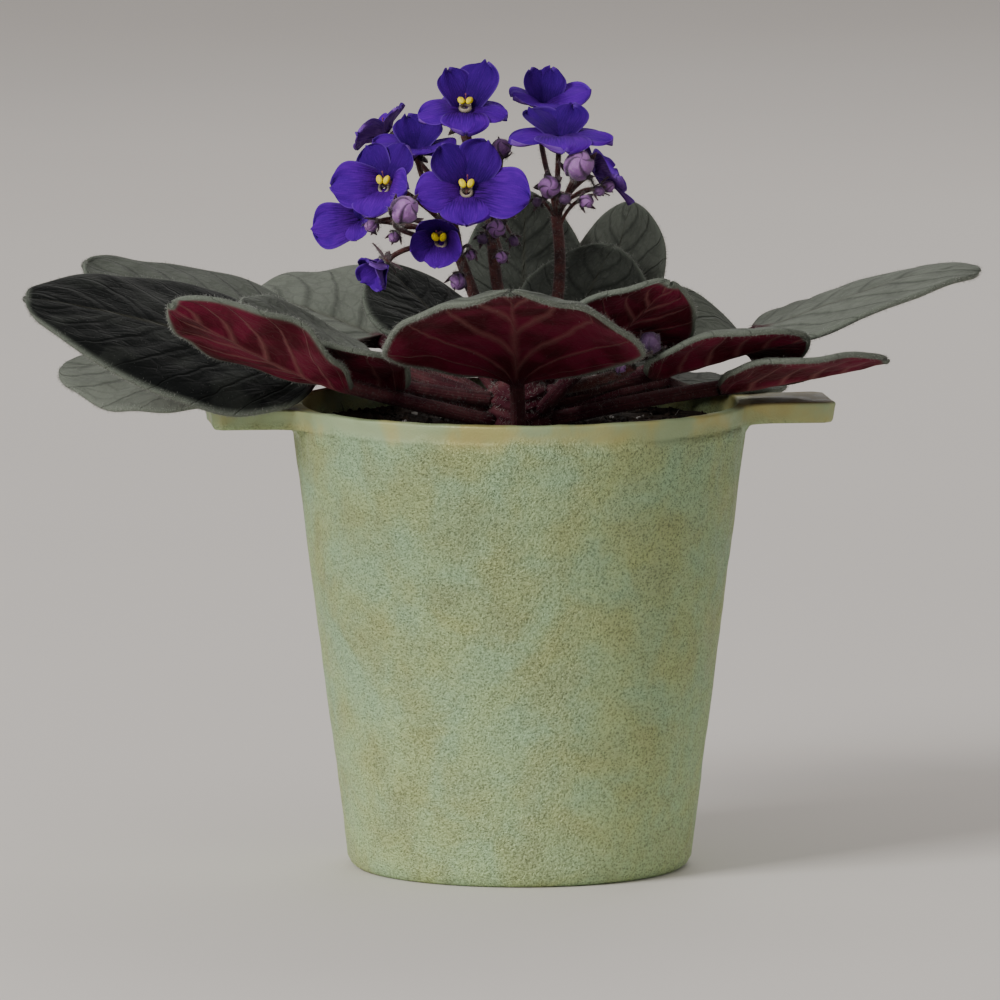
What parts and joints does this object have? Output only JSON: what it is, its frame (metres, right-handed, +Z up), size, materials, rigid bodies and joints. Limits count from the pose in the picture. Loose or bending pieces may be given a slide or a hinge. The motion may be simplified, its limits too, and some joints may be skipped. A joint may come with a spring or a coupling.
{
  "type": "potted african violet",
  "caption": "African violet in flower: a rosette of velvety leaves and branched stalks of lobed flowers, in a tapered cast metal pot with two flat tab handles.",
  "frame": {"origin": "centre of the pot's underside, on the surface it stands on", "axes": "+Z up through the pot's axis, -Y towards the front leaf, handles along X turned 6.5 degrees about Z"},
  "size_m": [0.2646, 0.1798, 0.2187],
  "materials": {
    "pot_casting": "matte",
    "potting_soil": "matte",
    "crown_flesh": "matte",
    "leaf_velvet": "matte",
    "stalk_skin": "matte",
    "petal": "matte",
    "anther": "satin",
    "bud_petal": "matte"
  },
  "bodies": {
    "root": {"pot": "pot_casting", "soil": "potting_soil", "crown": "crown_flesh", "leaf_front": "leaf_velvet", "leaf_front_left": "leaf_velvet", "leaf_left_main": "leaf_velvet", "leaf_left_back": "leaf_velvet", "leaf_left_low": "leaf_velvet", "leaf_left_mid": "leaf_velvet", "leaf_left_up": "leaf_velvet", "leaf_back_left": "leaf_velvet", "leaf_back_tall": "leaf_velvet", "leaf_back_right": "leaf_velvet", "leaf_back_mid": "leaf_velvet", "leaf_right_up": "leaf_velvet", "leaf_right_fold": "leaf_velvet", "leaf_right_long": "leaf_velvet", "leaf_right_low": "leaf_velvet", "leaf_rear_left": "leaf_velvet", "leaf_rear": "leaf_velvet", "leaf_rear_right": "leaf_velvet", "leaf_right_back": "leaf_velvet", "stalk_left": "stalk_skin", "stalk_middle": "stalk_skin", "stalk_right": "stalk_skin", "stalk_low": "stalk_skin", "flower_front": "petal", "flower_left": "petal", "flower_far_left": "petal", "flower_small": "petal", "flower_top": "petal", "flower_upright": "petal", "flower_middle": "petal", "flower_right": "petal", "flower_upper_left": "petal", "flower_rear": "petal", "flower_band": "petal", "flower_low": "petal", "stamens_front": "anther", "stamens_left": "anther", "stamens_small": "anther", "stamens_top": "anther", "bud_left": "bud_petal", "bud_right": "bud_petal", "bud_middle": "bud_petal", "bud_right_small": "bud_petal", "bud_high": "bud_petal", "bud_under": "bud_petal", "bud_tiny": "bud_petal", "bud_low": "bud_petal", "bud_dark": "bud_petal"}
  },
  "joints": []
}
